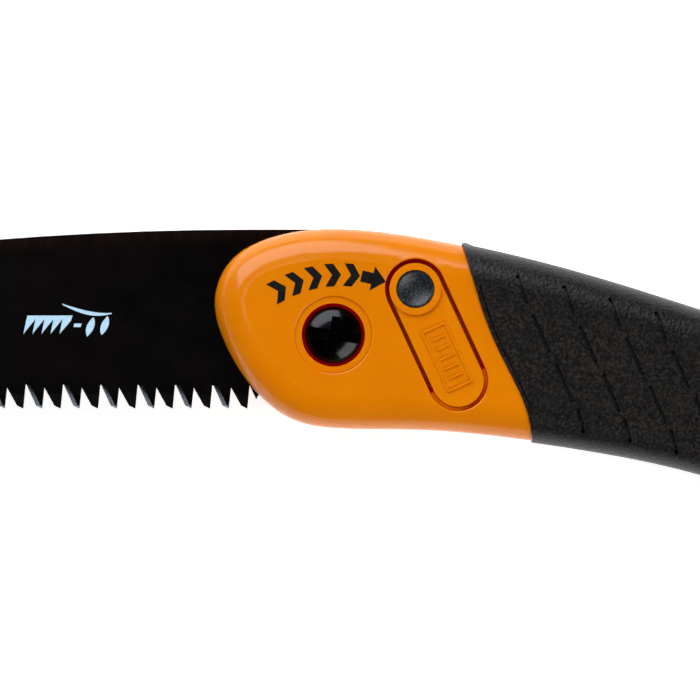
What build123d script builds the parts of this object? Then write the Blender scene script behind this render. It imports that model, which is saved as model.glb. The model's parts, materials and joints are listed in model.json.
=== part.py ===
from build123d import *
import os
from math import asin, atan2, cos, degrees, floor, radians, sin

# Folding pruning saw, lying on its side, open and locked.
# Everything is modelled about the pivot axis: z = 0 is the middle of the blade's thickness, +X runs to
# the tail and +Y to the blade's back.  The last step moves every piece so that the origin is the
# bottom centre of the open saw's box.

os.makedirs("parts", exist_ok=True)

# ---------------------------------------------------------------- driving dimensions, mm
# blade
blade_reach = 200.0           # pivot to the tip
blade_thickness = 1.0
back_height = 20.5            # pivot to the straight part of the back
back_straight = 16.0          # pivot to where the back starts to curve
back_radius = 628.0
tooth_line = 14.3             # pivot to the tooth tips
tooth_pitch = 25.4 / 7        # seven teeth to the inch
tooth_depth = 4.5
first_tooth = 16.74           # pivot to the tip of the tooth nearest the handle
tang_radius = 16.8
shoulder_x = -3.0             # end of the back, which stops against the handle's web
heel_height = 12.9
nose_clearance = 5.9          # tip to the last gullet
nose_depth = 13.9             # pivot to the lowest point of the nose
tooth_rake = 0.127            # share of the pitch from a tip to the gullet towards the handle
tooth_point = 0.336           # share of the pitch that the slanted top of a tooth takes

# folding
fold_angle = 163.0
running_gap = 0.05            # between faces that turn on each other
washer_thickness = 1.0
washer_radius = 9.0
swing_gap = 1.3               # tip of the folded blade to the end of its slot
tooth_gap = 1.6               # teeth of the folded blade to the bottom of its slot

# handle
half_thickness = 10.0
edge_radius = 6.0
tail_length = 12.5            # solid tail beyond the blade's reach
grip_rise = 0.4               # how far the soft grip stands proud of the hard core
grip_depth = 1.6              # how deep it is let into the core
groove_depth = 0.8
groove_width = 0.75
dash_pitch = 9.2
lip_width = 0.9               # plain edge between the front joint and the crease
crease_width = 0.4

# pivot stack
sleeve_radius = 4.0
shank_radius = 3.0
screw_head_radius = 5.5
screw_pocket_radius = 6.125
screw_seat_depth = 4.0
nut_flats = 10.0
nut_seat_depth = 5.0
dish_radius = 7.45            # shallow step round the screw

# lock
button_radius = 3.7
boss_radius = 5.05
tongue_radius = 5.0
tongue_thickness = 3.2
slot_centre_radius = 5.4
slot_width = 0.83
slot_ledge_depth = 0.8        # groove round the tongue's root, which doesn't go through
button_place = Vector(15.8, 8.86)
tongue_root = Vector(24.0, -8.84)
neck_radius = 1.1
collar_radius = 2.4
collar_length = 2.25
notch_gap = 0.4               # round the collar in the blade's notch
rest_gap = 0.15               # collar below the blade while the lock is let go
press_travel = 1.0
lock_wall = 2.0               # between the blade's slot and the space under the tongue
swing_room = 0.15             # round the tongue's root
pin_room = 1.3                # round the collar in its bore
boss_height = 0.5
frame_height = 0.25           # raised frame on the tongue
button_proud = 0.3
button_depth = 1.1            # the button's seat below the handle's face
pin_head_depth = 2.4          # the pin head's seat below the handle's face
pin_head_radius = 2.9

# small shapes
rim_rounding = 0.25
mark_depth = 0.5
dish_depth = 0.35

# tail
lanyard_radius = 2.5
lanyard_wall = 2.5            # between the blade's slot and the lanyard hole
lanyard_flat = 8.2            # half the length of the lanyard hole

# ---------------------------------------------------------------- worked-out values
handle_tilt = radians(180 - fold_angle)
half_blade = blade_thickness / 2
slot_half = half_blade + washer_thickness + 2 * running_gap
slot_end = blade_reach + swing_gap
slot_back = tooth_line + tooth_gap
slot_head = tang_radius + 0.6
tail_end = blade_reach + tail_length
core_edge = min(edge_radius, 0.6 * half_thickness)
screw_seat = half_thickness - screw_seat_depth
nut_seat = -(half_thickness - nut_seat_depth)
tongue_base = half_thickness - tongue_thickness
lock_floor = slot_half + lock_wall
root_floor = tongue_base - 0.4
slot_outer = slot_centre_radius + slot_width / 2
lock_arm = button_place - tongue_root
lock_way = lock_arm.normalized()
lock_turn = degrees(atan2(lock_way.Y, lock_way.X))
hinge_height = half_thickness - tongue_thickness / 2
collar_top = -half_blade - rest_gap
bore_depth = collar_top - collar_length - press_travel - 1.1
button_base = half_thickness - button_depth
button_top = half_thickness + button_proud
pin_head_base = half_thickness - pin_head_depth
notch_radius = collar_radius + notch_gap
notch_place = button_place + lock_way * 0.3


def along(s, t):
    # a place in the handle: s down its length from the pivot, t towards its back
    return Vector(s * cos(handle_tilt) + t * sin(handle_tilt), t * cos(handle_tilt) - s * sin(handle_tilt))


def middle(share):
    # a station on the grip, as a share of the way from the head to the tail
    return 66 + share * (tail_end - 66)


head = [
    Vector(-2.6, back_height), Vector(-13.0, 18.6), Vector(-19.8, 14.5), Vector(-22.95, 7.4),
    Vector(-20.6, -2.5), Vector(-15.6, -10.3), Vector(-7.8, -16.4), Vector(1.6, -18.1),
]
belly = [
    (21.3, -12.7), (36.5, -9.4), (56.0, -6.4), (middle(0.1), -4.8), (middle(0.26), -6.8),
    (middle(0.42), -8.3), (middle(0.6), -8.5), (middle(0.72), -10.5), (tail_end - 26, -15.5),
    (tail_end - 15, -17.2), (tail_end - 4.5, -11.5),
]
back = [
    (tail_end, 1.0), (tail_end - 4.0, 12.0), (tail_end - 14.0, 18.6), (tail_end - 31, 20.8),
    (middle(0.6), 21.7), (middle(0.4), 22.9), (middle(0.2), 24.3), (66.3, 25.1), (42.2, 25.2), (18.3, 23.8),
]
outline = head + [along(s, t) for s, t in belly + back]
outline_curve = Spline(*outline, periodic=True)
front_joint = [(16.2, 32), (18.9, 23.9), (23.1, 17.4), (26.0, 13.1), (29.4, 8.7), (34.6, 3.1), (39.4, -2.3),
               (42.8, -8.3), (47.0, -20)]
rear_joint = [(tail_end - 45, 32), (tail_end - 42, 24), (tail_end - 34, 16), (tail_end - 26, 4),
              (tail_end - 23, -12), (tail_end - 22, -28)]


def grown_outline(outset):
    # the handle's outline, moved outwards by outset
    corners = []
    for point in outline:
        tangent = outline_curve.tangent_at(point)
        corners.append(point + Vector(tangent.Y, -tangent.X) * outset)
    return corners


def handle_body(outset, half_height, rounding):
    # a closed, rounded handle shape, larger than the core all round by outset
    with BuildPart() as body:
        with BuildSketch(Plane.XY.offset(-half_height)):
            with BuildLine():
                Spline(*grown_outline(outset), periodic=True)
            make_face()
        extrude(amount=2 * half_height)
        rims = body.faces().sort_by(Axis.Z)[0].edges() + body.faces().sort_by(Axis.Z)[-1].edges()
        fillet(rims, radius=rounding)
    return body.part


def grip_zone():
    # everything between the front and the rear joint of the soft grip
    with BuildPart() as zone:
        with BuildSketch(Plane.XY.offset(-2 * half_thickness)):
            with BuildLine():
                front = Spline(*[along(s, t) for s, t in front_joint])
                rear = Spline(*[along(s, t) for s, t in rear_joint])
                Line(front @ 0, rear @ 0)
                Line(front @ 1, rear @ 1)
            make_face()
        extrude(amount=4 * half_thickness)
    return zone.part


def blade_slot():
    # the space that the blade folds into, and opens out of
    with BuildPart() as slot:
        with BuildSketch(Plane.XY.offset(-slot_half)):
            with BuildLine():
                Polyline(along(-60, slot_back), along(tail_end, slot_back), along(tail_end, -60),
                         along(-60, -60), close=True)
            make_face()
            Circle(slot_end, mode=Mode.INTERSECT)
            with Locations((shoulder_x + 0.3, 0)):
                Rectangle(60, 90, align=(Align.MAX, Align.CENTER))
            Circle(slot_head)
        extrude(amount=2 * slot_half)
    return slot.part


# ---------------------------------------------------------------- grooves of the grip
def edge_height(points, station):
    # how far across the handle its outline lies at a station, between the outline's own points
    ordered = sorted(points)
    for (s0, t0), (s1, t1) in zip(ordered, ordered[1:]):
        if s0 <= station <= s1:
            return t0 + (t1 - t0) * (station - s0) / (s1 - s0)
    return ordered[-1][1]


dash_rows = [
    # share of the way from belly to back, first station, length, slope in the handle's frame
    (0.84, 32.2, 6.0, -53),
    (0.615, 38.3, 8.1, -49),
    (0.365, 45.3, 8.1, -50),
    (0.165, 50.4, 5.0, -59),
]


def dash_places(share, start):
    places = []
    station = start
    while station < tail_end - 40 + 18 * (1 - share):
        low = edge_height(belly, station)
        high = edge_height(back, station)
        places.append(along(station, low + share * (high - low)))
        station += dash_pitch
    return places


deep_body = handle_body(grip_rise - groove_depth, half_thickness + grip_rise - groove_depth,
                        core_edge + grip_rise - groove_depth)

with BuildPart() as grooves:
    with BuildSketch(Plane.XY.offset(-2 * half_thickness)):
        for share, start, length, slope in dash_rows:
            with Locations(*dash_places(share, start)):
                SlotOverall(length, groove_width, rotation=slope - degrees(handle_tilt))
    with BuildSketch(Plane.XY.offset(-2 * half_thickness)):
        with BuildLine():
            crease = Spline(*[along(s + lip_width, t) for s, t in front_joint[2:-2]])
            crease_back = Spline(*[along(s + lip_width + crease_width, t) for s, t in front_joint[2:-2]])
            Line(crease @ 0, crease_back @ 0)
            Line(crease @ 1, crease_back @ 1)
        make_face()
    extrude(amount=4 * half_thickness)
    add(deep_body, mode=Mode.SUBTRACT)

# ---------------------------------------------------------------- handle: soft grip over two hard halves
inner_core = handle_body(-grip_depth, half_thickness - grip_depth, core_edge - grip_depth)
zone = grip_zone()
slot = blade_slot()

with BuildPart() as grip_overmould:
    add(handle_body(grip_rise, half_thickness + grip_rise, core_edge + grip_rise))
    add(zone, mode=Mode.INTERSECT)
    add(inner_core, mode=Mode.SUBTRACT)
    add(slot, mode=Mode.SUBTRACT)
    add(grooves.part, mode=Mode.SUBTRACT)

with BuildPart() as grip_bed:
    add(zone)
    add(inner_core, mode=Mode.SUBTRACT)

peg_stations = (45.0, 75.0, 105.0)
peg_places = [along(s, slot_back + 3.4) for s in peg_stations]
peg_radius = 1.5
peg_height = 4.0
lanyard_place = along(slot_end + lanyard_wall + lanyard_radius, 2.0)

with BuildPart() as core:
    add(handle_body(0, half_thickness, core_edge))
    add(grip_bed.part, mode=Mode.SUBTRACT)
    add(slot, mode=Mode.SUBTRACT)
    with Locations(lanyard_place):
        Cylinder(lanyard_radius, 4 * half_thickness, mode=Mode.SUBTRACT)
    for side in (-1, 1):
        with Locations((lanyard_place.X, lanyard_place.Y, side * (lanyard_flat + half_thickness))):
            Cylinder(lanyard_radius + 1.3, 2 * half_thickness, mode=Mode.SUBTRACT)
    Cylinder(sleeve_radius + running_gap, 4 * half_thickness, mode=Mode.SUBTRACT)


def lock_slot(radius, height, depth):
    # a straight slot with round ends from the tongue's root to the button
    with BuildPart() as cut:
        with BuildSketch(Plane.XY.offset(height)):
            with Locations((tongue_root + button_place) / 2):
                SlotCenterToCenter(lock_arm.length, 2 * radius, rotation=lock_turn)
        extrude(amount=depth)
    return cut.part


def marks():
    # five chevrons and an arrow on an arc round the head, which point to the button
    arc_centre = Vector(1.5, -13.6)
    arc_radius = 25.2
    pitch = 8.3
    with BuildSketch(Plane.XY.offset(half_thickness - mark_depth)) as drawing:
        for step in range(6):
            angle = 118.2 - step * pitch
            centre = arc_centre + Vector(arc_radius, 0).rotate(Axis.Z, angle)
            with Locations(Location(centre, (0, 0, angle - 90))):
                if step < 5:
                    Polygon((-1.75, 2.2), (0, 2.2), (1.45, 0), (0, -2.2), (-1.75, -2.2), (-0.3, 0), align=None)
                else:
                    Polygon((-1.95, 1.1), (0.2, 1.1), (0.2, 2.4), (2.9, 0), (0.2, -2.4), (0.2, -1.1),
                            (-1.95, -1.1), align=None)
    return drawing.sketch


with BuildPart() as press_mark:
    add(marks())
    extrude(amount=mark_depth)

with BuildPart() as near_core_half:
    add(core.part)
    split(bisect_by=Plane.XY, keep=Keep.TOP)
    with BuildSketch(Plane.XY.offset(screw_seat)):
        Circle(screw_pocket_radius)
    extrude(amount=half_thickness, mode=Mode.SUBTRACT)
    with BuildSketch(Plane.XY.offset(half_thickness - dish_depth)):
        Circle(dish_radius)
    extrude(amount=half_thickness, mode=Mode.SUBTRACT)
    add(lock_slot(slot_outer, lock_floor, half_thickness), mode=Mode.SUBTRACT)
    with BuildSketch():
        with Locations(button_place):
            Circle(collar_radius + pin_room)
    extrude(amount=slot_half, mode=Mode.SUBTRACT)
    with BuildSketch():
        with Locations(button_place):
            Circle(collar_radius + pin_room / 2)
    extrude(amount=lock_floor + 1, mode=Mode.SUBTRACT)
    with BuildSketch():
        with Locations(*peg_places):
            Circle(peg_radius + running_gap)
    extrude(amount=peg_height + 0.3, mode=Mode.SUBTRACT)
    root_plane = Plane(origin=(tongue_root.X, tongue_root.Y, lock_floor), x_dir=(lock_way.X, lock_way.Y, 0),
                       z_dir=(0, 0, 1))
    with BuildSketch(root_plane):
        Circle(slot_outer)
        Rectangle(2 * slot_outer, 2 * slot_outer, align=(Align.MIN, Align.CENTER), mode=Mode.SUBTRACT)
    extrude(amount=root_floor - lock_floor)
    with BuildSketch(root_plane):
        Circle(slot_outer)
        Circle(tongue_radius + swing_room, mode=Mode.SUBTRACT)
        Rectangle(2 * slot_outer, 2 * slot_outer, align=(Align.MIN, Align.CENTER), mode=Mode.SUBTRACT)
    extrude(amount=half_thickness - slot_ledge_depth - lock_floor)
    face_edges = near_core_half.edges().filter_by_position(Axis.Z, half_thickness - 0.001, half_thickness + 0.001)
    fillet(face_edges.filter_by(GeomType.BSPLINE, reverse=True), radius=rim_rounding)
    add(press_mark.part, mode=Mode.SUBTRACT)

with BuildPart() as far_core_half:
    add(core.part)
    split(bisect_by=Plane.XY, keep=Keep.BOTTOM)
    with BuildSketch(Plane.XY.offset(nut_seat)):
        RegularPolygon(nut_flats / 2 + 0.1, 6, major_radius=False)
    extrude(amount=-half_thickness, mode=Mode.SUBTRACT)
    fillet(far_core_half.edges().filter_by(GeomType.LINE).group_by(Axis.Z)[0], radius=rim_rounding)
    with BuildSketch(Plane.XY.offset(bore_depth)):
        with Locations(button_place):
            Circle(collar_radius + pin_room)
    extrude(amount=-bore_depth, mode=Mode.SUBTRACT)
    with BuildSketch(Plane.XY):
        with Locations(*peg_places):
            Circle(peg_radius)
    extrude(amount=peg_height)

# ---------------------------------------------------------------- lock
frame_reach = 14.4            # button to the middle of the raised frame
frame_size = (12.8, 5.4)
frame_line = 0.5
rib_step = 2.0
with BuildPart() as lock_tongue:
    add(lock_slot(tongue_radius, tongue_base, tongue_thickness))
    with BuildSketch(Plane.XY.offset(half_thickness)):
        with Locations(button_place):
            Circle(boss_radius - 0.05)
    extrude(amount=boss_height)
    with BuildSketch(Plane.XY.offset(half_thickness)):
        with Locations(button_place - lock_way * frame_reach):
            Rectangle(*frame_size, rotation=lock_turn)
            Rectangle(frame_size[0] - 2 * frame_line, frame_size[1] - 2 * frame_line, rotation=lock_turn,
                      mode=Mode.SUBTRACT)
        for step in range(-2, 3):
            with Locations(button_place - lock_way * (frame_reach + rib_step * step)):
                Rectangle(frame_line, 0.55 * frame_size[1], rotation=lock_turn)
    extrude(amount=frame_height)
    with BuildSketch(Plane.XY.offset(button_base)):
        with Locations(button_place):
            Circle(button_radius)
    extrude(amount=half_thickness, mode=Mode.SUBTRACT)
    with BuildSketch(Plane.XY.offset(pin_head_base)):
        with Locations(button_place):
            Circle(pin_head_radius)
    extrude(amount=half_thickness, mode=Mode.SUBTRACT)
    with Locations(button_place):
        Cylinder(neck_radius, 4 * half_thickness, mode=Mode.SUBTRACT)

dish_rim = button_radius - 0.5
button_dish = 0.75
button_sphere = (dish_rim**2 + button_dish**2) / (2 * button_dish)
with BuildPart() as lock_button:
    with BuildSketch(Plane.XY.offset(button_base)):
        with Locations(button_place):
            Circle(button_radius)
    extrude(amount=button_top - button_base)
    with Locations((button_place.X, button_place.Y, button_top - button_dish + button_sphere)):
        Sphere(button_sphere, mode=Mode.SUBTRACT)
    fillet(lock_button.edges().group_by(Axis.Z)[-1], radius=0.15)

pin_plane = Plane(origin=(button_place.X, button_place.Y, 0), x_dir=(1, 0, 0), z_dir=(0, -1, 0))
with BuildPart() as lock_pin:
    with BuildSketch(pin_plane):
        with BuildLine():
            Polyline((0, collar_top - collar_length), (collar_radius - 0.3, collar_top - collar_length),
                     (collar_radius, collar_top - collar_length + 0.3), (collar_radius, collar_top),
                     (neck_radius, collar_top), (neck_radius, pin_head_base), (pin_head_radius, pin_head_base),
                     (pin_head_radius, button_base), (0, button_base), close=True)
        make_face()
    revolve(axis=Axis((button_place.X, button_place.Y, 0), (0, 0, 1)))

# ---------------------------------------------------------------- pivot
with BuildPart() as pivot_sleeve:
    with BuildSketch(Plane.XY.offset(nut_seat)):
        Circle(sleeve_radius)
        Circle(shank_radius + running_gap, mode=Mode.SUBTRACT)
    extrude(amount=screw_seat - nut_seat)

with BuildPart() as near_thrust_washer:
    with BuildSketch(Plane.XY.offset(half_blade + running_gap)):
        Circle(washer_radius)
        Circle(sleeve_radius + running_gap, mode=Mode.SUBTRACT)
    extrude(amount=washer_thickness)

with BuildPart() as far_thrust_washer:
    add(mirror(near_thrust_washer.part, about=Plane.XY, mode=Mode.PRIVATE))

spring_thickness = 0.8
with BuildPart() as spring_washer:
    with BuildSketch(Plane.XY.offset(screw_seat)):
        Circle(screw_head_radius - 0.2)
        Circle(shank_radius + 0.1, mode=Mode.SUBTRACT)
        with Locations(Location((screw_head_radius - 1.0, 0), (0, 0, 20))):
            Rectangle(5, 1.0, mode=Mode.SUBTRACT)
    extrude(amount=spring_thickness)

head_base = screw_seat + spring_thickness
head_rim = head_base + 1.4
head_top = half_thickness - 0.4
screw_end = -(half_thickness - 0.4)
drive_turn = -9
with BuildPart() as pivot_screw:
    with BuildSketch(Plane.XZ):
        with BuildLine():
            side = Polyline((0, head_top), (0, screw_end), (shank_radius - 0.5, screw_end),
                            (shank_radius, screw_end + 0.5), (shank_radius, head_base),
                            (screw_head_radius, head_base), (screw_head_radius, head_rim))
            TangentArc(side @ 0, side @ 1, tangent=(1, 0))
        make_face()
    revolve(axis=Axis.Z)
    fillet(pivot_screw.edges().filter_by_position(Axis.Z, head_rim - 0.01, head_rim + 0.01), radius=0.3)
    with BuildSketch(Plane.XY.offset(head_top - 1.5)):
        Rectangle(4 * screw_head_radius, 1.9, rotation=drive_turn)
    extrude(amount=2, mode=Mode.SUBTRACT)
    with BuildSketch(Plane.XY.offset(head_top - 1.9)):
        Rectangle(1.6, 7.2, rotation=drive_turn)
        Rectangle(7.2, 1.6, rotation=drive_turn)
    extrude(amount=3, mode=Mode.SUBTRACT)

nut_thickness = half_thickness - 0.2 + nut_seat
ring_thickness = 1.4
corner_radius = nut_flats / 2 / cos(radians(30))
with BuildPart() as pivot_nut:
    with BuildSketch(Plane.XY.offset(nut_seat)):
        RegularPolygon(nut_flats / 2, 6, major_radius=False)
        Circle(shank_radius, mode=Mode.SUBTRACT)
    extrude(amount=-nut_thickness)
    with BuildSketch(Plane.XZ):
        with BuildLine():
            Polyline((0, nut_seat), (corner_radius, nut_seat), (corner_radius, nut_seat - nut_thickness + 0.6),
                     (nut_flats / 2 - 0.3, nut_seat - nut_thickness), (0, nut_seat - nut_thickness), close=True)
        make_face()
    revolve(axis=Axis.Z, mode=Mode.INTERSECT)
    with BuildSketch(Plane.XY.offset(nut_seat - nut_thickness + 0.4)):
        Circle(shank_radius + 0.8)
    extrude(amount=ring_thickness, mode=Mode.SUBTRACT)
    with BuildSketch(Plane.XY.offset(nut_seat - nut_thickness)):
        Circle(shank_radius + 0.5)
    extrude(amount=1, mode=Mode.SUBTRACT)

with BuildPart() as nut_nylon_ring:
    with BuildSketch(Plane.XY.offset(nut_seat - nut_thickness + 0.4)):
        Circle(shank_radius + 0.8)
        Circle(shank_radius, mode=Mode.SUBTRACT)
    extrude(amount=ring_thickness)

# ---------------------------------------------------------------- blade
gullet_height = tooth_depth - tooth_line
tooth_count = floor((blade_reach - nose_clearance - first_tooth) / tooth_pitch)
first_gullet = tooth_rake * tooth_pitch - first_tooth
closed_notch = notch_place.rotate(Axis.Z, -fold_angle)


def tooth_points(number):
    # tip of one tooth and the gullet beyond it, counted from the heel
    gullet = first_gullet - number * tooth_pitch
    tip = gullet - tooth_rake * tooth_pitch
    return [Vector(tip, -tooth_line),
            Vector(tip - tooth_point * tooth_pitch, 0.6 - tooth_line),
            Vector(gullet - tooth_pitch, gullet_height)]


with BuildPart() as blade:
    with BuildSketch(Plane.XY.offset(-half_blade)) as profile:
        with BuildLine():
            straight = Line((shoulder_x, back_height), (-back_straight, back_height))
            arc_drop = back_radius - (back_radius**2 - (blade_reach - back_straight) ** 2) ** 0.5
            curve = TangentArc(straight @ 1, (-blade_reach, back_height - arc_drop), tangent=(-1, 0))
            edge = [curve @ 1, Vector(-blade_reach, -nose_depth)]
            toothed = [Vector(first_gullet, gullet_height)]
            for number in range(tooth_count):
                toothed += tooth_points(number)
            edge.append(Vector(toothed[-1].X - 2.4, -nose_depth))
            heel = [Vector(-first_tooth + 1.9, -heel_height), Vector(-11.0, -heel_height),
                    Vector(shoulder_x, -tang_radius / 2), straight @ 0]
            Polyline(*edge, *reversed(toothed), *heel)
        make_face()
        fillet(profile.vertices().group_by(Axis.X)[0].sort_by(Axis.Y)[0], radius=1.5)
        fillet(profile.vertices().group_by(Axis.X)[0].sort_by(Axis.Y)[-1], radius=4.0)
        Circle(tang_radius)
        with Locations(notch_place, closed_notch):
            Circle(notch_radius, mode=Mode.SUBTRACT)
        Circle(sleeve_radius + running_gap, mode=Mode.SUBTRACT)
    extrude(amount=blade_thickness)

# ---------------------------------------------------------------- place and write
pieces = {
    "near_core_half": near_core_half, "far_core_half": far_core_half, "grip_overmould": grip_overmould,
    "press_mark": press_mark, "lock_tongue": lock_tongue, "lock_button": lock_button, "lock_pin": lock_pin,
    "pivot_screw": pivot_screw, "spring_washer": spring_washer, "pivot_sleeve": pivot_sleeve,
    "pivot_nut": pivot_nut, "nut_nylon_ring": nut_nylon_ring, "near_thrust_washer": near_thrust_washer,
    "far_thrust_washer": far_thrust_washer, "blade": blade,
}
box = Compound([piece.part for piece in pieces.values()]).bounding_box()
shift = Vector(-(box.min.X + box.max.X) / 2, -(box.min.Y + box.max.Y) / 2, -box.min.Z)
for name, piece in pieces.items():
    piece.part = piece.part.moved(Location(shift))
    piece.part.label = name
    export_step(piece.part, f"parts/{name}.step")

print("size", box.size)
print("pivot axis", shift)
print("lock hinge", shift + Vector(tongue_root.X, tongue_root.Y, hinge_height))
print("lock hinge axis", Vector(-lock_way.Y, lock_way.X, 0))
print("lanyard hole", shift + lanyard_place)
print("lock angles", -degrees(asin((blade_thickness + rest_gap) / lock_arm.length)),
      degrees(asin(press_travel / lock_arm.length)))
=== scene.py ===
import json
import math

import bmesh
import bpy
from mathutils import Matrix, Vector


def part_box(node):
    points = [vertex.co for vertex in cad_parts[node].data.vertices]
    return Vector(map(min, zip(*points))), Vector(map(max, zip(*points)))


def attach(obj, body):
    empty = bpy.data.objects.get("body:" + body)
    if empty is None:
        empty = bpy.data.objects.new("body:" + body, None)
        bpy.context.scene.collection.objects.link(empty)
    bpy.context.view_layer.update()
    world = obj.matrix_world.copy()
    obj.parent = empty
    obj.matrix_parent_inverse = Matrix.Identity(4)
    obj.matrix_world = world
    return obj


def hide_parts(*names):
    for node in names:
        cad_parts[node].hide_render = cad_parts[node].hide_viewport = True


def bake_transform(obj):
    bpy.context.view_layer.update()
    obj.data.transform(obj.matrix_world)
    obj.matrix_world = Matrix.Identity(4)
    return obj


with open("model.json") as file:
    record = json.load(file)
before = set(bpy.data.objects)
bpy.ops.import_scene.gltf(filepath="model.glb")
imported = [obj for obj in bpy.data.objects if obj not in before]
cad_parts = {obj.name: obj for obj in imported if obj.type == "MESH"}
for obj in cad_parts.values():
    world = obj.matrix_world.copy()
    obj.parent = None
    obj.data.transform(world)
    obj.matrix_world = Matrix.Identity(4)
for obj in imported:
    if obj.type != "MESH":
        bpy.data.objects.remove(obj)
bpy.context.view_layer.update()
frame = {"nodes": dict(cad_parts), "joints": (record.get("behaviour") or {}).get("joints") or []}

# Folding pruning saw, open and locked, lying on its side on a white board.
# Sizes in the dictionaries are millimetres and angles are degrees, unless a note says otherwise.
mm = 0.001
joints = {joint["name"]: joint for joint in frame["joints"]}
pivot = Vector(joints["blade_fold"]["pos_m"])  # middle of the blade's thickness, on the pivot screw


def place(x, y, z=0.0):  # millimetres from the pivot to the frame's metres
    return pivot + Vector((x, y, z)) * mm


def shade(hexCode):  # an sRGB hex value as the linear colour that sockets take
    levels = [int(hexCode[i:i + 2], 16) / 255 for i in (1, 3, 5)]
    return [v / 12.92 if v <= 0.04045 else ((v + 0.055) / 1.055) ** 2.4 for v in levels] + [1.0]


def addNode(tree, kind, inputs=None, **settings):
    # Inputs go by name or number: a socket is linked, a hex value becomes a colour, the rest is set.
    node = tree.nodes.new(kind)
    for name, value in settings.items():
        setattr(node, name, value)
    for name, value in (inputs or {}).items():
        if isinstance(value, bpy.types.NodeSocket):
            tree.links.new(value, node.inputs[name])
        elif isinstance(value, str) and value.startswith("#"):
            node.inputs[name].default_value = shade(value)
        else:
            node.inputs[name].default_value = value
    return node


def newMaterial(name):  # the material, its tree and its object coordinates
    material = bpy.data.materials.new(name)
    material.use_nodes = True
    tree = material.node_tree
    tree.nodes.clear()
    return material, tree, addNode(tree, "ShaderNodeTexCoord").outputs["Object"]


def giveShader(material, inputs):  # ends a material with its shader
    tree = material.node_tree
    shader = addNode(tree, "ShaderNodeBsdfPrincipled", inputs)
    addNode(tree, "ShaderNodeOutputMaterial", {"Surface": shader.outputs["BSDF"]})
    return material


def twoTone(tree, f, tone, wear, relief):
    # What a finish feeds to its shader: tone blends two colours, wear drives the gloss, relief the bumps.
    share = addNode(tree, "ShaderNodeMapRange", {
        "Value": tone, "From Min": f["toneSpread"][0], "From Max": f["toneSpread"][1],
        "To Max": f.get("toneShare", 1.0)})
    colour = addNode(tree, "ShaderNodeMix", {
        0: share.outputs["Result"], 6: f["tones"][0], 7: f["tones"][1]}, data_type="RGBA")
    gloss = addNode(tree, "ShaderNodeMapRange", {
        "Value": wear, "From Min": f["wearSpread"][0], "From Max": f["wearSpread"][1],
        "To Min": f["roughness"][0], "To Max": f["roughness"][1]})
    bumps = addNode(tree, "ShaderNodeBump", {
        "Height": relief, "Distance": f["reliefDepth"] * mm, "Strength": f["reliefStrength"]})
    return {"Base Color": colour.outputs[2], "Roughness": gloss.outputs["Result"],
            "Normal": bumps.outputs["Normal"]}


orangeFinish = {
    "tones": ("#E07F02", "#DC7B01"), "toneSpread": (0.35, 0.65), "cloudSize": 14.0,
    "wearSpread": (0.3, 0.8), "roughness": (0.14, 0.23),
    "peelSize": 1.3, "reliefDepth": 0.012, "reliefStrength": 0.35,
    "rub": "#E68C1A", "rubSize": 0.5, "rubSpread": (0.62, 0.8), "rubShare": 0.25, "rubDepth": 0.004,
    "rubStrength": 0.25,
    # The gap colour and the glow are painted shade and a painted red glow for narrow gaps, with their reach
    # and spread.
    "paintedGapShade": "#A00400", "glow": "#600000", "paintedGapShadeReach": 3.4, "paintedGapShadeSpread": (0.3, 0.66),
}


def mouldedPolypropylene():
    # Injection-moulded polypropylene from a polished tool: an even, warm orange with a soft gloss.
    # The eye gets a faint orange peel, slow clouds of pigment and fine rubbing marks.  Narrow gaps are
    # given a painted deep red shade and a faint painted red glow, in place of light through the walls.
    f = orangeFinish
    material, tree, spot = newMaterial("mouldedPolypropylene")
    clouds = addNode(tree, "ShaderNodeTexNoise", {
        "Vector": spot, "Scale": 1 / (f["cloudSize"] * mm), "Detail": 3.0}).outputs["Fac"]
    rubs = addNode(tree, "ShaderNodeTexNoise", {
        "Vector": spot, "Scale": 1 / (f["rubSize"] * mm), "Detail": 4.0, "Roughness": 0.7}).outputs["Fac"]
    peel = addNode(tree, "ShaderNodeTexNoise", {
        "Vector": spot, "Scale": 1 / (f["peelSize"] * mm), "Detail": 1.0}).outputs["Fac"]
    look = twoTone(tree, f, clouds, rubs, peel)
    rubMask = addNode(tree, "ShaderNodeMapRange", {
        "Value": rubs, "From Min": f["rubSpread"][0], "From Max": f["rubSpread"][1], "To Max": f["rubShare"]})
    rubbed = addNode(tree, "ShaderNodeMix", {
        0: rubMask.outputs["Result"], 6: look["Base Color"], 7: f["rub"]}, data_type="RGBA")
    # Painted shade: ambient occlusion finds narrow gaps, which are painted deep red.
    paintedGapShade = addNode(tree, "ShaderNodeAmbientOcclusion", {"Distance": f["paintedGapShadeReach"] * mm}, samples=6)
    paintedShadeMask = addNode(tree, "ShaderNodeMapRange", {
        "Value": paintedGapShade.outputs["AO"], "From Min": f["paintedGapShadeSpread"][0], "From Max": f["paintedGapShadeSpread"][1]})
    colour = addNode(tree, "ShaderNodeMix", {
        0: paintedShadeMask.outputs["Result"], 6: f["paintedGapShade"], 7: rubbed.outputs[2]}, data_type="RGBA")
    # Painted glow: a faint red emission in the same gaps, though the plastic is no lamp.
    glow = addNode(tree, "ShaderNodeMix", {
        0: paintedShadeMask.outputs["Result"], 6: f["glow"], 7: "#000000"}, data_type="RGBA")
    scuffs = addNode(tree, "ShaderNodeBump", {
        "Height": rubs, "Distance": f["rubDepth"] * mm, "Strength": f["rubStrength"],
        "Normal": look["Normal"]})
    look.update({"Base Color": colour.outputs[2], "Emission Color": glow.outputs[2],
                 "Normal": scuffs.outputs["Normal"]})
    return giveShader(material, {
        **look, "IOR": 1.49, "Specular IOR Level": 0.32, "Emission Strength": 1.0, "Subsurface Weight": 0.35,
        "Subsurface Radius": (1.0, 0.2, 0.02), "Subsurface Scale": 1.3 * mm})


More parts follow.
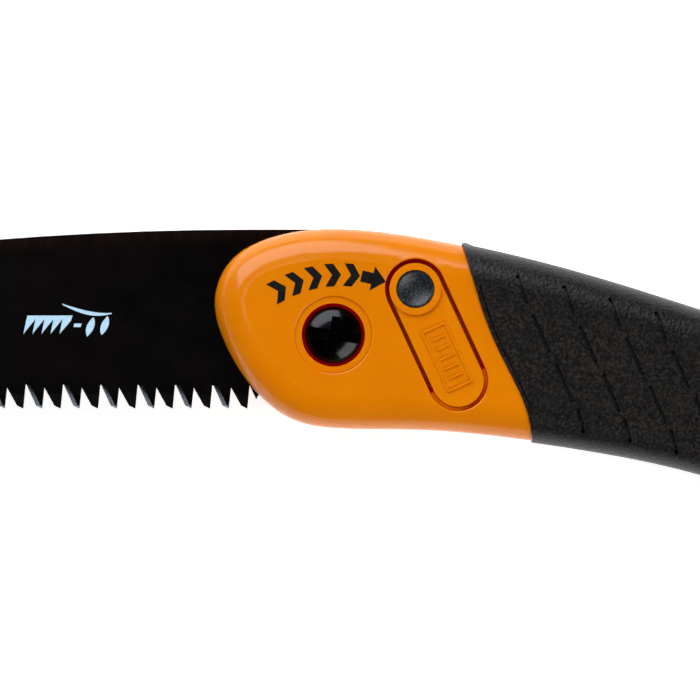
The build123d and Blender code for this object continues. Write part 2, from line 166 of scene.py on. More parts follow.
gripFinish = {
    "tones": ("#030202", "#2B251F"), "toneSpread": (0.0, 1.0), "wearSpread": (0.3, 0.7),
    "roughness": (0.3, 0.46), "grainSize": 0.6, "reliefDepth": 0.1, "reliefStrength": 0.6,
    "gritSize": 0.48, "gritSpread": (0.46, 0.66), "gritDepth": 0.06, "gritStrength": 0.6,
    "patchSize": 9.0, "patchSpread": (0.3, 0.7), "patchLeast": 0.6,
    # The crease reach and spread set where grooves and creases get painted black shade.
    "paintedCreaseShadeReach": 1.6, "paintedCreaseShadeSpread": (0.5, 0.88),
}


def sparkErodedElastomer():
    # Thermoplastic elastomer moulded over the core from a spark-eroded tool: near black, warm, matt.
    # The tool leaves a fine pebbled grain, 0.3 mm in the real one and drawn 0.6 mm so that it shows.
    f = gripFinish
    material, tree, spot = newMaterial("sparkErodedElastomer")
    pebbles = addNode(tree, "ShaderNodeTexVoronoi", {
        "Vector": spot, "Scale": 1 / (f["grainSize"] * mm), "Smoothness": 0.6, "Randomness": 1.0},
        feature="SMOOTH_F1").outputs["Distance"]
    grit = addNode(tree, "ShaderNodeTexNoise", {
        "Vector": spot, "Scale": 1 / (f["gritSize"] * mm), "Detail": 3.0, "Roughness": 0.6}).outputs["Fac"]
    patches = addNode(tree, "ShaderNodeTexNoise", {
        "Vector": spot, "Scale": 1 / (f["patchSize"] * mm)}).outputs["Fac"]
    gritMask = addNode(tree, "ShaderNodeMapRange", {
        "Value": grit, "From Min": f["gritSpread"][0], "From Max": f["gritSpread"][1]})
    patchMask = addNode(tree, "ShaderNodeMapRange", {
        "Value": patches, "From Min": f["patchSpread"][0], "From Max": f["patchSpread"][1],
        "To Min": f["patchLeast"]})
    speckle = addNode(tree, "ShaderNodeMath", {
        0: gritMask.outputs["Result"], 1: patchMask.outputs["Result"]}, operation="MULTIPLY").outputs[0]
    look = twoTone(tree, f, speckle, grit, pebbles)
    # Painted shade: ambient occlusion finds grooves and creases, which are painted black.
    paintedCreaseShade = addNode(tree, "ShaderNodeAmbientOcclusion", {"Distance": f["paintedCreaseShadeReach"] * mm}, samples=6)
    paintedShadeMask = addNode(tree, "ShaderNodeMapRange", {
        "Value": paintedCreaseShade.outputs["AO"], "From Min": f["paintedCreaseShadeSpread"][0], "From Max": f["paintedCreaseShadeSpread"][1]})
    colour = addNode(tree, "ShaderNodeMix", {  # painted shade: grooves are painted black
        0: paintedShadeMask.outputs["Result"], 6: "#000000", 7: look["Base Color"]}, data_type="RGBA")
    fine = addNode(tree, "ShaderNodeBump", {
        "Height": grit, "Distance": f["gritDepth"] * mm, "Strength": f["gritStrength"],
        "Normal": look["Normal"]})
    look.update({"Base Color": colour.outputs[2], "Normal": fine.outputs["Normal"]})
    return giveShader(material, {**look, "IOR": 1.5, "Specular IOR Level": 0.3})


stampFinish = {
    "tones": ("#020202", "#2A2119"), "toneSpread": (0.52, 0.7), "wearSpread": (0.3, 0.7),
    "roughness": (0.38, 0.55), "blotSize": 0.35, "reliefDepth": 0.02, "reliefStrength": 0.3,
}


def hotStampedInk():
    # Black foil stamped into the handle: slightly blotchy where the foil took unevenly, with a dull shine.
    f = stampFinish
    material, tree, spot = newMaterial("hotStampedInk")
    blots = addNode(tree, "ShaderNodeTexNoise", {
        "Vector": spot, "Scale": 1 / (f["blotSize"] * mm), "Detail": 4.0, "Roughness": 0.65}).outputs["Fac"]
    look = twoTone(tree, f, blots, blots, blots)
    return giveShader(material, {**look, "IOR": 1.48, "Specular IOR Level": 0.2})


buttonFinish = {
    # The second tone is bluish grey specks: eroded grain, and painted sparkle.
    "tones": ("#030303", "#3A4048"), "toneSpread": (0.47, 0.66), "wearSpread": (0.3, 0.7),
    "roughness": (0.3, 0.44), "grainSize": 0.4, "reliefDepth": 0.06, "reliefStrength": 0.5,
}


def texturedAcetal():
    # Push button moulded in black acetal with an eroded face: grey-black and waxy.
    # Its bluish grey specks are partly eroded grain and partly painted sparkle.
    f = buttonFinish
    material, tree, spot = newMaterial("texturedAcetal")
    grains = addNode(tree, "ShaderNodeTexNoise", {
        "Vector": spot, "Scale": 1 / (f["grainSize"] * mm), "Detail": 3.0, "Roughness": 0.7}).outputs["Fac"]
    look = twoTone(tree, f, grains, grains, grains)
    return giveShader(material, {**look, "IOR": 1.48, "Specular IOR Level": 0.5})


screwFinish = {
    "tones": ("#0C0C0E", "#4A4846"), "toneSpread": (0.6, 0.8), "toneShare": 0.6, "wearSpread": (0.3, 0.7),
    "roughness": (0.2, 0.36), "grainSize": 0.4, "reliefDepth": 0.012, "reliefStrength": 0.3,
}


def blackOxideSteel():
    # Oiled black-oxide finish on a cold-formed screw: very dark, tight gloss, a few rubbed grey spots.
    f = screwFinish
    material, tree, spot = newMaterial("blackOxideSteel")
    grains = addNode(tree, "ShaderNodeTexNoise", {
        "Vector": spot, "Scale": 1 / (f["grainSize"] * mm), "Detail": 4.0, "Roughness": 0.6}).outputs["Fac"]
    look = twoTone(tree, f, grains, grains, grains)
    return giveShader(material, {**look, "Metallic": 1.0, "Coat Weight": 0.5, "Coat Roughness": 0.12})


turnedFinish = {
    "tones": ("#BDBAB4", "#8E8B86"), "toneSpread": (0.0, 1.0), "wearSpread": (0.3, 0.7),
    "roughness": (0.24, 0.4), "bloomSize": 1.6, "ringSize": 0.12, "ringStretch": (0.15, 0.15, 1.0),
    "reliefDepth": 0.01, "reliefStrength": 0.4,
}


def turnedSteel():
    # Zinc-plated turned steel for the sleeve, nut and pin: pale grey with fine tool rings.
    f = turnedFinish
    material, tree, spot = newMaterial("turnedSteel")
    upright = addNode(tree, "ShaderNodeMapping", {"Vector": spot, "Scale": f["ringStretch"]})
    rings = addNode(tree, "ShaderNodeTexNoise", {
        "Vector": upright.outputs["Vector"], "Scale": 1 / (f["ringSize"] * mm)}).outputs["Fac"]
    bloom = addNode(tree, "ShaderNodeTexNoise", {
        "Vector": spot, "Scale": 1 / (f["bloomSize"] * mm), "Detail": 3.0}).outputs["Fac"]
    return giveShader(material, {**twoTone(tree, f, bloom, rings, rings), "Metallic": 1.0})


nylonFinish = {
    "tones": ("#D9D4C4", "#C9C2AE"), "toneSpread": (0.0, 1.0), "wearSpread": (0.3, 0.7),
    "roughness": (0.34, 0.48), "milkSize": 2.5, "skinSize": 0.3, "reliefDepth": 0.01, "reliefStrength": 0.3,
}


def naturalNylon():
    # Undyed nylon for the washers and the nut's locking ring: milky cream, waxy and slightly see-through.
    f = nylonFinish
    material, tree, spot = newMaterial("naturalNylon")
    milk = addNode(tree, "ShaderNodeTexNoise", {
        "Vector": spot, "Scale": 1 / (f["milkSize"] * mm), "Detail": 3.0}).outputs["Fac"]
    skin = addNode(tree, "ShaderNodeTexNoise", {
        "Vector": spot, "Scale": 1 / (f["skinSize"] * mm)}).outputs["Fac"]
    look = twoTone(tree, f, milk, milk, skin)
    return giveShader(material, {**look, "IOR": 1.53, "Subsurface Weight": 0.15,
                                 "Subsurface Radius": (0.002, 0.0016, 0.001)})


plateFinish = {
    "tones": ("#020101", "#040202"), "toneSpread": (0.4, 0.7), "wearSpread": (0.3, 0.7),
    "roughness": (0.26, 0.36), "mottleSize": 6.0, "reliefDepth": 0.006, "reliefStrength": 0.35,
    "tickSize": 0.4, "tickStretch": (1.0, 0.05, 0.05), "tickSpread": (0.4, 0.7), "tickLeast": 0.1,
    "spineTint": "#1E0C08", "spineRadius": 628.0, "spineCentre": (-16.0, -607.5), "spineBand": (3.2, 0.4),
}


def slickBlackCoating():
    # Baked low-friction coating on the ground plate: deep black satin.  Grinding marks run down from the
    # back, 0.1 mm apart in the real one and drawn 0.4 mm so that they show, and the back edge is browner.
    f = plateFinish
    material, tree, spot = newMaterial("slickBlackCoating")
    centre = place(*f["spineCentre"])
    flat = addNode(tree, "ShaderNodeVectorMath", {0: spot, 1: (1, 1, 0)}, operation="MULTIPLY")
    reach = addNode(tree, "ShaderNodeVectorMath", {0: flat.outputs["Vector"], 1: (centre.x, centre.y, 0)},
                    operation="DISTANCE")
    band = addNode(tree, "ShaderNodeMapRange", {
        "Value": reach.outputs["Value"], "From Min": (f["spineRadius"] - f["spineBand"][0]) * mm,
        "From Max": (f["spineRadius"] - f["spineBand"][1]) * mm})
    drawn = addNode(tree, "ShaderNodeMapping", {"Vector": spot, "Scale": f["tickStretch"]})
    ticks = addNode(tree, "ShaderNodeTexNoise", {
        "Vector": drawn.outputs["Vector"], "Scale": 1 / (f["tickSize"] * mm), "Detail": 3.0,
        "Roughness": 0.6}).outputs["Fac"]
    mottle = addNode(tree, "ShaderNodeTexNoise", {
        "Vector": spot, "Scale": 1 / (f["mottleSize"] * mm), "Detail": 4.0, "Roughness": 0.6}).outputs["Fac"]
    tickMask = addNode(tree, "ShaderNodeMapRange", {
        "Value": ticks, "From Min": f["tickSpread"][0], "From Max": f["tickSpread"][1],
        "To Min": f["tickLeast"]})
    brown = addNode(tree, "ShaderNodeMath", {
        0: band.outputs["Result"], 1: tickMask.outputs["Result"]}, operation="MULTIPLY")
    look = twoTone(tree, f, mottle, mottle, ticks)
    colour = addNode(tree, "ShaderNodeMix", {
        0: brown.outputs[0], 6: look["Base Color"], 7: f["spineTint"]}, data_type="RGBA")
    look["Base Color"] = colour.outputs[2]
    return giveShader(material, {**look, "IOR": 1.45, "Specular IOR Level": 0.1})


groundFinish = {
    "tones": ("#59616A", "#1C1F24"), "toneSpread": (0.45, 0.75), "wearSpread": (0.3, 0.7),
    "roughness": (0.22, 0.4), "streakSize": 0.2, "streakStretch": (0.2, 1.0, 0.2),
    "reliefDepth": 0.008, "reliefStrength": 0.4,
}


def groundToothSteel():
    # Impulse-hardened steel where the wheel cut the bevels: heat-darkened blue grey, streaked across the
    # edge.  The wheel leaves lines 0.05 mm apart, drawn 0.2 mm apart so that they show.
    f = groundFinish
    material, tree, spot = newMaterial("groundToothSteel")
    across = addNode(tree, "ShaderNodeMapping", {"Vector": spot, "Scale": f["streakStretch"]})
    streaks = addNode(tree, "ShaderNodeTexNoise", {
        "Vector": across.outputs["Vector"], "Scale": 1 / (f["streakSize"] * mm), "Detail": 3.0,
        "Roughness": 0.6}).outputs["Fac"]
    return giveShader(material, {**twoTone(tree, f, streaks, streaks, streaks), "Metallic": 1.0})


bladeInkFinish = {
    "tones": ("#B9DAEF", "#93B6CC"), "toneSpread": (0.5, 0.8), "wearSpread": (0.3, 0.7),
    "roughness": (0.45, 0.6), "meshSize": 0.25, "reliefDepth": 0.01, "reliefStrength": 0.3,
}


def paleScreenInk():
    # Pale blue screen ink on the coating: flat and chalky, a little thinner here and there.
    f = bladeInkFinish
    material, tree, spot = newMaterial("paleScreenInk")
    screen = addNode(tree, "ShaderNodeTexNoise", {
        "Vector": spot, "Scale": 1 / (f["meshSize"] * mm), "Detail": 3.0, "Roughness": 0.6}).outputs["Fac"]
    look = twoTone(tree, f, screen, screen, screen)
    return giveShader(material, {**look, "IOR": 1.45, "Specular IOR Level": 0.3})


boardFinish = {"tones": ("#F4F4F3", "#F8F8F8"), "cloudSize": 3.0, "light": 0.58, "roughness": 0.9}


def opalBoard():
    # Opal acrylic table top, lit a little from below: even white, and shadows stay faint.
    f = boardFinish
    material, tree, spot = newMaterial("opalBoard")
    clouds = addNode(tree, "ShaderNodeTexNoise", {
        "Vector": spot, "Scale": 1 / (f["cloudSize"] * mm), "Detail": 4.0})
    colour = addNode(tree, "ShaderNodeMix", {
        0: clouds.outputs["Fac"], 6: f["tones"][0], 7: f["tones"][1]}, data_type="RGBA")
    return giveShader(material, {
        "Base Color": colour.outputs[2], "Specular IOR Level": 0.1, "Roughness": f["roughness"],
        "Emission Color": "#FFFFFF", "Emission Strength": f["light"]})


finishes = {
    "orange": mouldedPolypropylene(), "grip": sparkErodedElastomer(), "stamp": hotStampedInk(),
    "button": texturedAcetal(), "screw": blackOxideSteel(), "turned": turnedSteel(), "nylon": naturalNylon(),
    "plate": slickBlackCoating(), "ground": groundToothSteel(), "ink": paleScreenInk(), "board": opalBoard(),
}
print("materials made:", len(finishes))

nodeFinishes = {
    "near_core_half": "orange", "far_core_half": "orange", "grip_overmould": "grip", "press_mark": "stamp",
    "lock_tongue": "orange", "lock_button": "button", "lock_pin": "turned", "pivot_screw": "screw",
    "spring_washer": "screw", "pivot_sleeve": "turned", "pivot_nut": "turned", "nut_nylon_ring": "nylon",
    "near_thrust_washer": "nylon", "far_thrust_washer": "nylon", "blade": "plate",
}
for nodeName, finishName in nodeFinishes.items():
    for materialSlot in frame["nodes"][nodeName].material_slots:
        materialSlot.material = finishes[finishName]
print("finishes given to", len(nodeFinishes), "frame pieces")


def addObject(name, data):
    thing = bpy.data.objects.new(name, data)
    bpy.context.scene.collection.objects.link(thing)
    return thing


def newPiece(name, mesh, materialName):
    mesh.materials.clear()
    mesh.materials.append(finishes[materialName])
    return addObject(name, mesh)


def mergedCopy(nodeName):  # a frame piece's mesh with its loose triangles joined, as a bmesh
    work = bmesh.new()
    work.from_mesh(frame["nodes"][nodeName].data)
    bmesh.ops.remove_doubles(work, verts=work.verts, dist=0.0005 * mm)  # half a micrometre
    bmesh.ops.recalc_face_normals(work, faces=work.faces)
    return work


def toMesh(work, name, smoothAngle=None):  # flat shaded unless there is an angle to stay smooth under
    mesh = bpy.data.meshes.new(name)
    work.to_mesh(mesh)
    work.free()
    for key in ("custom_normal", "sharp_face", "sharp_edge"):
        if mesh.attributes.get(key):
            mesh.attributes.remove(mesh.attributes[key])
    if smoothAngle:
        mesh.shade_smooth()
        mesh.set_sharp_from_angle(angle=math.radians(smoothAngle))
    else:
        mesh.shade_flat()
    return mesh


def cutAcross(work, point, way):  # adds the edges where a plane meets the mesh, and takes nothing away
    bmesh.ops.bisect_plane(work, geom=work.verts[:] + work.edges[:] + work.faces[:], dist=1e-7,
                           plane_co=point, plane_no=way)


# The blade is the plate without its teeth, and a row of ground and set teeth.  Tooth points are measured
# from the gullet behind each tooth: back is where the flank ends and tip is the point.
toothRow = {
    "pitch": 25.4 / 7, "count": 48, "firstTip": -16.74, "tipToGullet": 0.4586, "joinHeight": -9.0,
    "gulletHeight": -9.8, "gulletStep": 0.4, "thickness": 1.0, "back": (1.95, -3.9), "tip": (3.17, -4.5),
    "flankBevel": 0.8, "tipBevel": 0.42, "bendDepth": 1.7, "set": 0.3, "plateSmooth": 30,
}


def bladePlate():
    t = toothRow
    right = place(t["firstTip"] + t["tipToGullet"], 0).x
    left = right - t["pitch"] * t["count"] * mm
    join = place(0, t["joinHeight"]).y
    work = mergedCopy("blade")
    cutAcross(work, (left, 0, 0), (1, 0, 0))
    cutAcross(work, (right, 0, 0), (1, 0, 0))
    cutAcross(work, (0, join, 0), (0, 1, 0))
    toothFaces = []
    for face in work.faces:
        middle = face.calc_center_median()
        if left < middle.x < right and middle.y < join:
            toothFaces.append(face)
    bmesh.ops.delete(work, geom=toothFaces, context="FACES")
    bmesh.ops.holes_fill(work, edges=[e for e in work.edges if e.is_boundary], sides=0)
    bmesh.ops.recalc_face_normals(work, faces=work.faces)
    return newPiece("bladePlate", toMesh(work, "bladePlate", t["plateSmooth"]), "plate")


def movedLine(start, end, amount):  # a point and direction of the line start-end, moved into the tooth
    way = (end - start).normalized()
    return start + Vector((-way.y, way.x)) * amount, way


def crossing(p, u, q, v):  # where the line from p along u meets the line from q along v
    return p + u * (((q.x - p.x) * v.y - (q.y - p.y) * v.x) / (u.x * v.y - u.y * v.x))


def addTooth(work, start, leftGullet, rightGullet, side):
    # Side 1 is ground on the near face and -1 on the far face.  Returns the ground faces.
    t = toothRow
    half = t["thickness"] / 2
    top = t["joinHeight"] - t["gulletHeight"]
    topLeft, topRight = Vector((0, top)), Vector((t["pitch"], top))
    left, right = Vector((0, leftGullet)), Vector((t["pitch"], rightGullet))
    back, tip = Vector(t["back"]), Vector(t["tip"])
    flank, flankWay = movedLine(left, back, t["flankBevel"])
    edge, edgeWay = movedLine(back, tip, t["tipBevel"])
    corner = crossing(flank, flankWay, edge, edgeWay)
    end = crossing(edge, edgeWay, tip, (right - tip).normalized())
    outline = (topLeft, left, back, tip, right, topRight)
    groundOutline = (topLeft, left, flank, corner, end, right, topRight)
    outer = [work.verts.new((start + p.x, p.y, -side * half)) for p in outline]
    inner = [work.verts.new((start + p.x, p.y, side * half)) for p in groundOutline]
    work.faces.new(outer)
    work.faces.new(inner)
    ground = [work.faces.new((outer[1], outer[2], inner[3], inner[2])),
              work.faces.new((outer[2], outer[3], inner[4], inner[3]))]
    work.faces.new((outer[1], inner[2], inner[1]))
    work.faces.new((outer[3], outer[4], inner[5], inner[4]))
    work.faces.new((outer[0], inner[0], inner[6], outer[5]))
    work.faces.new((outer[0], outer[1], inner[1], inner[0]))
    work.faces.new((outer[4], outer[5], inner[6], inner[5]))
    return ground


def toothPairMesh():
    # Two teeth, one ground from the near side and one from the far side, each bent away from its bevel.
    t = toothRow
    pitch, step, bend = t["pitch"], t["gulletStep"], t["bendDepth"]
    hair = 1e-6  # keeps faces and points that lie right on a limit
    work = bmesh.new()
    cutMark = work.faces.layers.int.new("groundSide")
    ground = addTooth(work, 0.0, step, -step, 1) + addTooth(work, pitch, -step, step, -1)
    for face in ground:
        face[cutMark] = 1
    for start in (0.0, pitch):
        geometry = set()
        for face in work.faces:
            if start - hair <= face.calc_center_median().x <= start + pitch + hair:
                geometry.add(face)
                geometry.update(face.verts)
                geometry.update(face.edges)
        bmesh.ops.bisect_plane(work, geom=list(geometry), dist=hair, plane_co=(0, -bend, 0),
                               plane_no=(0, 1, 0))
    lean = t["set"] / (-t["tip"][1] - bend)
    for vert in work.verts:
        if vert.co.y < -bend - hair:
            way = -1 if vert.co.x < pitch else 1
            vert.co.z += way * lean * (-bend - vert.co.y)
    bmesh.ops.recalc_face_normals(work, faces=work.faces)
    bmesh.ops.scale(work, vec=(mm, mm, mm), verts=work.verts)
    return toMesh(work, "toothPair")


def toothRowTree():
    # A line of tooth pairs, made real, with the wheel-cut faces given their own finish.
    tree = bpy.data.node_groups.new("toothRow", "GeometryNodeTree")
    face = tree.interface
    for name, kind in (("Tooth Pair", "NodeSocketObject"), ("Pairs", "NodeSocketInt"),
                       ("Pair Length", "NodeSocketFloat"), ("First Pair", "NodeSocketVector"),
                       ("Plate Finish", "NodeSocketMaterial"), ("Ground Finish", "NodeSocketMaterial")):
        face.new_socket(name, in_out="INPUT", socket_type=kind)
    face.new_socket("Geometry", in_out="OUTPUT", socket_type="NodeSocketGeometry")
    given = addNode(tree, "NodeGroupInput").outputs
    back = addNode(tree, "ShaderNodeMath", {0: given["Pair Length"], 1: -1.0}, operation="MULTIPLY")
    step = addNode(tree, "ShaderNodeCombineXYZ", {"X": back.outputs[0]})
    line = addNode(tree, "GeometryNodeMeshLine", {
        "Count": given["Pairs"], "Start Location": given["First Pair"], "Offset": step.outputs[0]})
    pair = addNode(tree, "GeometryNodeObjectInfo", {"Object": given["Tooth Pair"]})
    spread = addNode(tree, "GeometryNodeInstanceOnPoints", {
        "Points": line.outputs[0], "Instance": pair.outputs["Geometry"]})
    real = addNode(tree, "GeometryNodeRealizeInstances", {0: spread.outputs[0]})
    coated = addNode(tree, "GeometryNodeSetMaterial", {
        "Geometry": real.outputs[0], "Material": given["Plate Finish"]})
    cut = addNode(tree, "GeometryNodeInputNamedAttribute", {"Name": "groundSide"}, data_type="INT")
    isCut = addNode(tree, "FunctionNodeCompare", {2: cut.outputs[0], 3: 1}, data_type="INT",
                    operation="EQUAL")
    bare = addNode(tree, "GeometryNodeSetMaterial", {
        "Geometry": coated.outputs[0], "Selection": isCut.outputs[0], "Material": given["Ground Finish"]})
    addNode(tree, "NodeGroupOutput", {0: bare.outputs[0]})
    return tree


def plainMesh(carrier, tree, values):  # runs a tree on a carrier object and returns the result as a mesh
    modifier = carrier.modifiers.new("made", "NODES")
    modifier.node_group = tree
    for item in tree.interface.items_tree:
        if item.in_out == "INPUT" and item.name in values:
            modifier[item.identifier] = values[item.name]
    shown = carrier.evaluated_get(bpy.context.evaluated_depsgraph_get())
    mesh = bpy.data.meshes.new_from_object(shown)
    carrier.modifiers.remove(modifier)
    return mesh


def bladeTeeth():
    t = toothRow
    pair = addObject("toothPair", toothPairMesh())
    carrier = addObject("toothCarrier", bpy.data.meshes.new("toothCarrier"))
    start = place(t["firstTip"] + t["tipToGullet"] - 2 * t["pitch"], t["gulletHeight"])
    mesh = plainMesh(carrier, toothRowTree(), {
        "Tooth Pair": pair, "Pairs": t["count"] // 2, "Pair Length": 2 * t["pitch"] * mm,
        "First Pair": start, "Plate Finish": finishes["plate"], "Ground Finish": finishes["ground"]})
    bpy.data.objects.remove(pair)
    bpy.data.objects.remove(carrier)
    return addObject("bladeTeeth", mesh)


plate = bladePlate()
teeth = bladeTeeth()
print("blade plate faces:", len(plate.data.polygons), "tooth faces:", len(teeth.data.polygons))


# The mark printed on the blade: a bar of saw teeth, a dash and two leaves, with a sweep over them.
# It starts at left and low from the pivot and leans by slant.  The dash is given as left, right, low and
# high, and each leaf as its middle, low and high.
bladeMark = {
    "left": -60.6, "low": 0.2, "slant": 0.32, "face": 0.5, "proud": 0.02,
    "teeth": 5, "toothStep": 1.75, "toothFoot": 0.35, "barTop": 3.6, "barLow": 2.9, "barEnd": 2.6,
    "dash": (9.6, 11.0, 1.35, 2.05), "leaves": ((12.9, -0.5, 3.3), (15.6, -0.2, 3.5)), "leafWidth": 1.5,
    "leafSteps": 8, "sweepStart": (7.9, 5.9), "sweepLength": 9.6, "sweepDip": 2.3, "sweepRise": 0.5,
    "sweepThick": 0.75, "sweepSteps": 12,
}


def printedShape(work, corners):
    t = bladeMark
    bottom = [work.verts.new(place(x, y, t["face"])) for x, y in corners]
    top = [work.verts.new(place(x, y, t["face"] + t["proud"])) for x, y in corners]
    work.faces.new(top)
    work.faces.new(bottom[::-1])
    for i in range(len(corners)):
        j = (i + 1) % len(corners)
        work.faces.new((bottom[i], bottom[j], top[j], top[i]))


def slanted(points):
    t = bladeMark
    return [(t["left"] + x + y * t["slant"], t["low"] + y) for x, y in points]


def toothBar():
    t = bladeMark
    points = [(0, t["barTop"]), (0, t["barLow"])]
    for k in range(t["teeth"]):
        root = t["barLow"] if k < t["teeth"] - 1 else t["barEnd"]
        points += [(t["toothFoot"] + t["toothStep"] * k, 0.0), (t["toothStep"] * (k + 1), root)]
    return points + [(t["toothStep"] * t["teeth"], t["barTop"])]


def leaf(x, low, high):
    t = bladeMark
    sides = []
    for side in (1, -1):
        for i in range(t["leafSteps"] + 1):
            s = i / t["leafSteps"]
            bulge = t["leafWidth"] / 2 * math.sin(math.pi * s) ** 0.8
            sides.append((x + side * bulge, low + (high - low) * s))
    up, down = sides[:t["leafSteps"] + 1], sides[t["leafSteps"] + 1:]
    return up + down[-2:0:-1]


def sweep():
    t = bladeMark
    upper, lower = [], []
    for i in range(t["sweepSteps"] + 1):
        s = i / t["sweepSteps"]
        x = t["left"] + t["sweepStart"][0] + t["sweepLength"] * s
        y = t["low"] + t["sweepStart"][1] - t["sweepDip"] * math.sin(math.pi * 0.5 * s) + t["sweepRise"] * s
        upper.append((x, y))
        lower.append((x, y - t["sweepThick"] * math.sin(math.pi * (0.08 + 0.84 * s))))  # thin at both ends
    return upper + lower[::-1]


def bladePrint():
    t = bladeMark
    left, right, low, high = t["dash"]
    work = bmesh.new()
    printedShape(work, slanted(toothBar()))
    printedShape(work, slanted([(left, low), (right, low), (right, high), (left, high)]))
    for foot, leafLow, leafHigh in t["leaves"]:
        printedShape(work, slanted(leaf(foot, leafLow, leafHigh)))
    printedShape(work, sweep())
    bmesh.ops.recalc_face_normals(work, faces=work.faces)
    return newPiece("bladeMark", toMesh(work, "bladeMark"), "ink")


mark = bladePrint()
for piece in (plate, teeth, mark):
    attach(piece, "blade")
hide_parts("blade")
print("blade mark faces:", len(mark.data.polygons))


# The lock tongue's arm bends like a living hinge between its root and the button; here it is only cut into
# slices.
tongueShape = {"slices": 14, "bendEnd": 0.75, "smooth": 32}  # bendEnd is a share of the arm


def lockTongue():
    t = tongueShape
    low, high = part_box("lock_button")
    button = (low + high) / 2
    root = Vector(joints["lock_press"]["pos_m"])
    arm = Vector((button.x - root.x, button.y - root.y, 0))
    work = mergedCopy("lock_tongue")
    for k in range(1, t["slices"]):
        cutAcross(work, root + arm * (k / t["slices"]), arm.normalized())
    bmesh.ops.triangulate(work, faces=[f for f in work.faces if len(f.verts) > 4])
    piece = newPiece("lockTongue", toMesh(work, "lockTongue", t["smooth"]), "orange")
    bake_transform(piece)
    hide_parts("lock_tongue")
    return piece


tongue = lockTongue()
print("lock tongue faces:", len(tongue.data.polygons))


# The pivot screw is the frame's shape with its cut edges rolled over, as a cold-formed head has them.
screwShape = {"edgeRoll": 0.16, "segments": 2, "sharperThan": 34}


def pivotScrew():
    t = screwShape
    head = toMesh(mergedCopy("pivot_screw"), "pivotScrewHead", t["sharperThan"])
    piece = newPiece("pivotScrewHead", head, "screw")
    roll = piece.modifiers.new("edgeRoll", "BEVEL")
    roll.width = t["edgeRoll"] * mm
    roll.segments = t["segments"]
    roll.limit_method = "ANGLE"
    roll.angle_limit = math.radians(t["sharperThan"])
    roll.harden_normals = True
    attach(piece, "handle")
    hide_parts("pivot_screw")
    return piece


screw = pivotScrew()
print("pivot screw faces:", len(screw.data.polygons))


# The soft grip's front corner stands up in a short wedge on the back of the handle.  It climbs from
# frontShare of its rise, and fades out towards the rear.
lipShape = {
    "start": (24.95, 17.5), "end": (29.1, 16.45), "rise": 0.7, "frontShare": 0.6, "climb": 4.0, "fade": 0.9,
    "rooted": 0.9, "halfWidth": 5.2, "steps": 8, "across": 10, "smooth": 50,
}


def gripLip():
    t = lipShape
    start, end = Vector(t["start"]), Vector(t["end"])
    along = (end - start).normalized()
    out = Vector((-along.y, along.x))
    work = bmesh.new()
    upper, lower = [], []
    for i in range(t["steps"] + 1):
        s = i / t["steps"]
        rise = t["rise"] * min(1.0, t["frontShare"] + t["climb"] * s) * (1 - s) ** t["fade"]
        centre = start + (end - start) * s
        base = centre - out * t["rooted"]
        upperRow, lowerRow = [], []
        for j in range(t["across"] + 1):
            u = 2 * j / t["across"] - 1
            top = centre + out * (rise * max(0.0, 1 - u ** 4))
            upperRow.append(work.verts.new(place(top.x, top.y, u * t["halfWidth"])))
            lowerRow.append(work.verts.new(place(base.x, base.y, u * t["halfWidth"])))
        upper.append(upperRow)
        lower.append(lowerRow)
    last = t["across"]
    for i in range(t["steps"]):
        for j in range(last):
            work.faces.new((upper[i][j], upper[i + 1][j], upper[i + 1][j + 1], upper[i][j + 1]))
            work.faces.new((lower[i][j + 1], lower[i + 1][j + 1], lower[i + 1][j], lower[i][j]))
        for j in (0, last):
            work.faces.new((upper[i][j], upper[i + 1][j], lower[i + 1][j], lower[i][j]))
    for i in (0, t["steps"]):
        for j in range(last):
            work.faces.new((upper[i][j], upper[i][j + 1], lower[i][j + 1], lower[i][j]))
    bmesh.ops.recalc_face_normals(work, faces=work.faces)
    piece = newPiece("gripLip", toMesh(work, "gripLip", t["smooth"]), "grip")
    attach(piece, "handle")
    return piece


lip = gripLip()
print("grip lip faces:", len(lip.data.polygons))


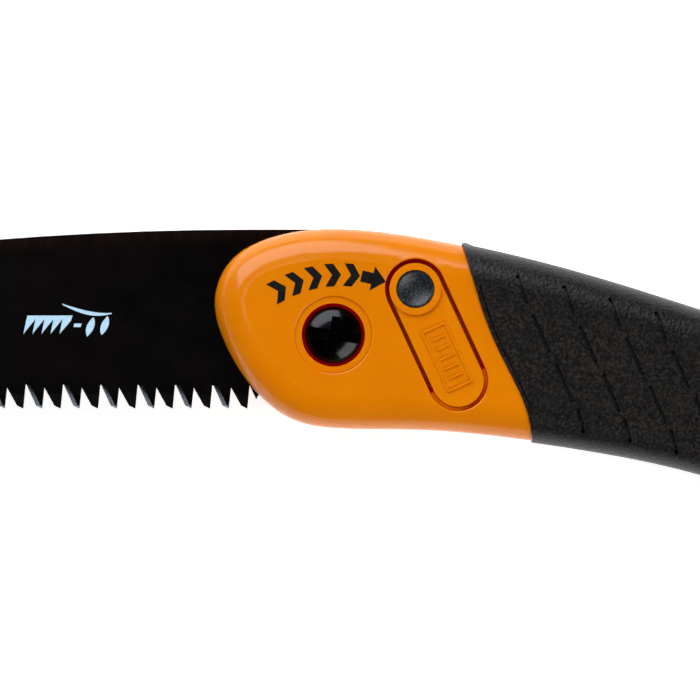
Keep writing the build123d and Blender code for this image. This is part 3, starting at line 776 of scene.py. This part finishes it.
# Board, lights and camera.  The board, the camera's distance and the lamps are in metres, and lamps are
# placed from the pivot.
studio = {
    "viewCentre": (3.2, -2.9, 5.0), "viewWidth": 135.5, "cameraDistance": 1.2, "sensor": 36,
    "boardSize": 6.0, "skyHorizon": 0.2, "skyDarkAbove": 0.8,
    "lamps": {
        "keySoftbox": {"place": (-0.45, 0.95, 0.8), "size": (1.4, 1.2), "watts": 25.0, "tint": "#F2F8FF"},
        "fillSoftbox": {"place": (0.85, -0.75, 0.85), "size": (1.2, 1.2), "watts": 16.0, "tint": "#FFFFFF"},
        "edgeStrip": {"place": (-0.2, 0.15, 1.2), "size": (0.6, 0.07), "watts": 0.45, "tint": "#FFF4EA"},
    },
}


def addBoard():
    half = studio["boardSize"] / 2
    mesh = bpy.data.meshes.new("board")
    corners = [(x * half, y * half, 0.0) for x, y in ((-1, -1), (1, -1), (1, 1), (-1, 1))]
    mesh.from_pydata(corners, [], [(0, 1, 2, 3)])
    board = newPiece("board", mesh, "board")


def addLamp(name, lampValues):
    light = bpy.data.lights.new(name, "AREA")
    light.shape = "RECTANGLE"
    light.size, light.size_y = lampValues["size"]
    light.energy = lampValues["watts"]
    light.color = shade(lampValues["tint"])[:3]
    lamp = addObject(name, light)
    offset = Vector(lampValues["place"])
    lamp.location = pivot + offset
    lamp.rotation_euler = (-offset).to_track_quat("-Z", "Y").to_euler()
    lamp.visible_camera = False


def addWorld():  # pale walls under a dark ceiling, so that flat blacks stay black
    world = bpy.data.worlds.new("paleStudio")
    world.use_nodes = True
    tree = world.node_tree
    direction = addNode(tree, "ShaderNodeTexCoord").outputs["Generated"]
    height = addNode(tree, "ShaderNodeSeparateXYZ", {0: direction}).outputs["Z"]
    glow = addNode(tree, "ShaderNodeMapRange", {
        "Value": height, "From Max": studio["skyDarkAbove"], "To Min": studio["skyHorizon"], "To Max": 0.0})
    background = tree.nodes["Background"]
    background.inputs["Color"].default_value = shade("#FFFFFF")
    tree.links.new(glow.outputs["Result"], background.inputs["Strength"])
    bpy.context.scene.world = world
    bpy.context.scene.view_settings.view_transform = "Standard"


def addCamera():
    lens = bpy.data.cameras.new("camera")
    lens.sensor_width = studio["sensor"]
    lens.lens = studio["sensor"] * studio["cameraDistance"] / (studio["viewWidth"] * mm)
    lens.clip_end = 100
    camera = addObject("camera", lens)
    camera.location = place(*studio["viewCentre"]) + Vector((0, 0, studio["cameraDistance"]))
    bpy.context.scene.camera = camera


addBoard()
for lampName, lampValues in studio["lamps"].items():
    addLamp(lampName, lampValues)
addWorld()
addCamera()
print("studio made, lamps:", len(studio["lamps"]))
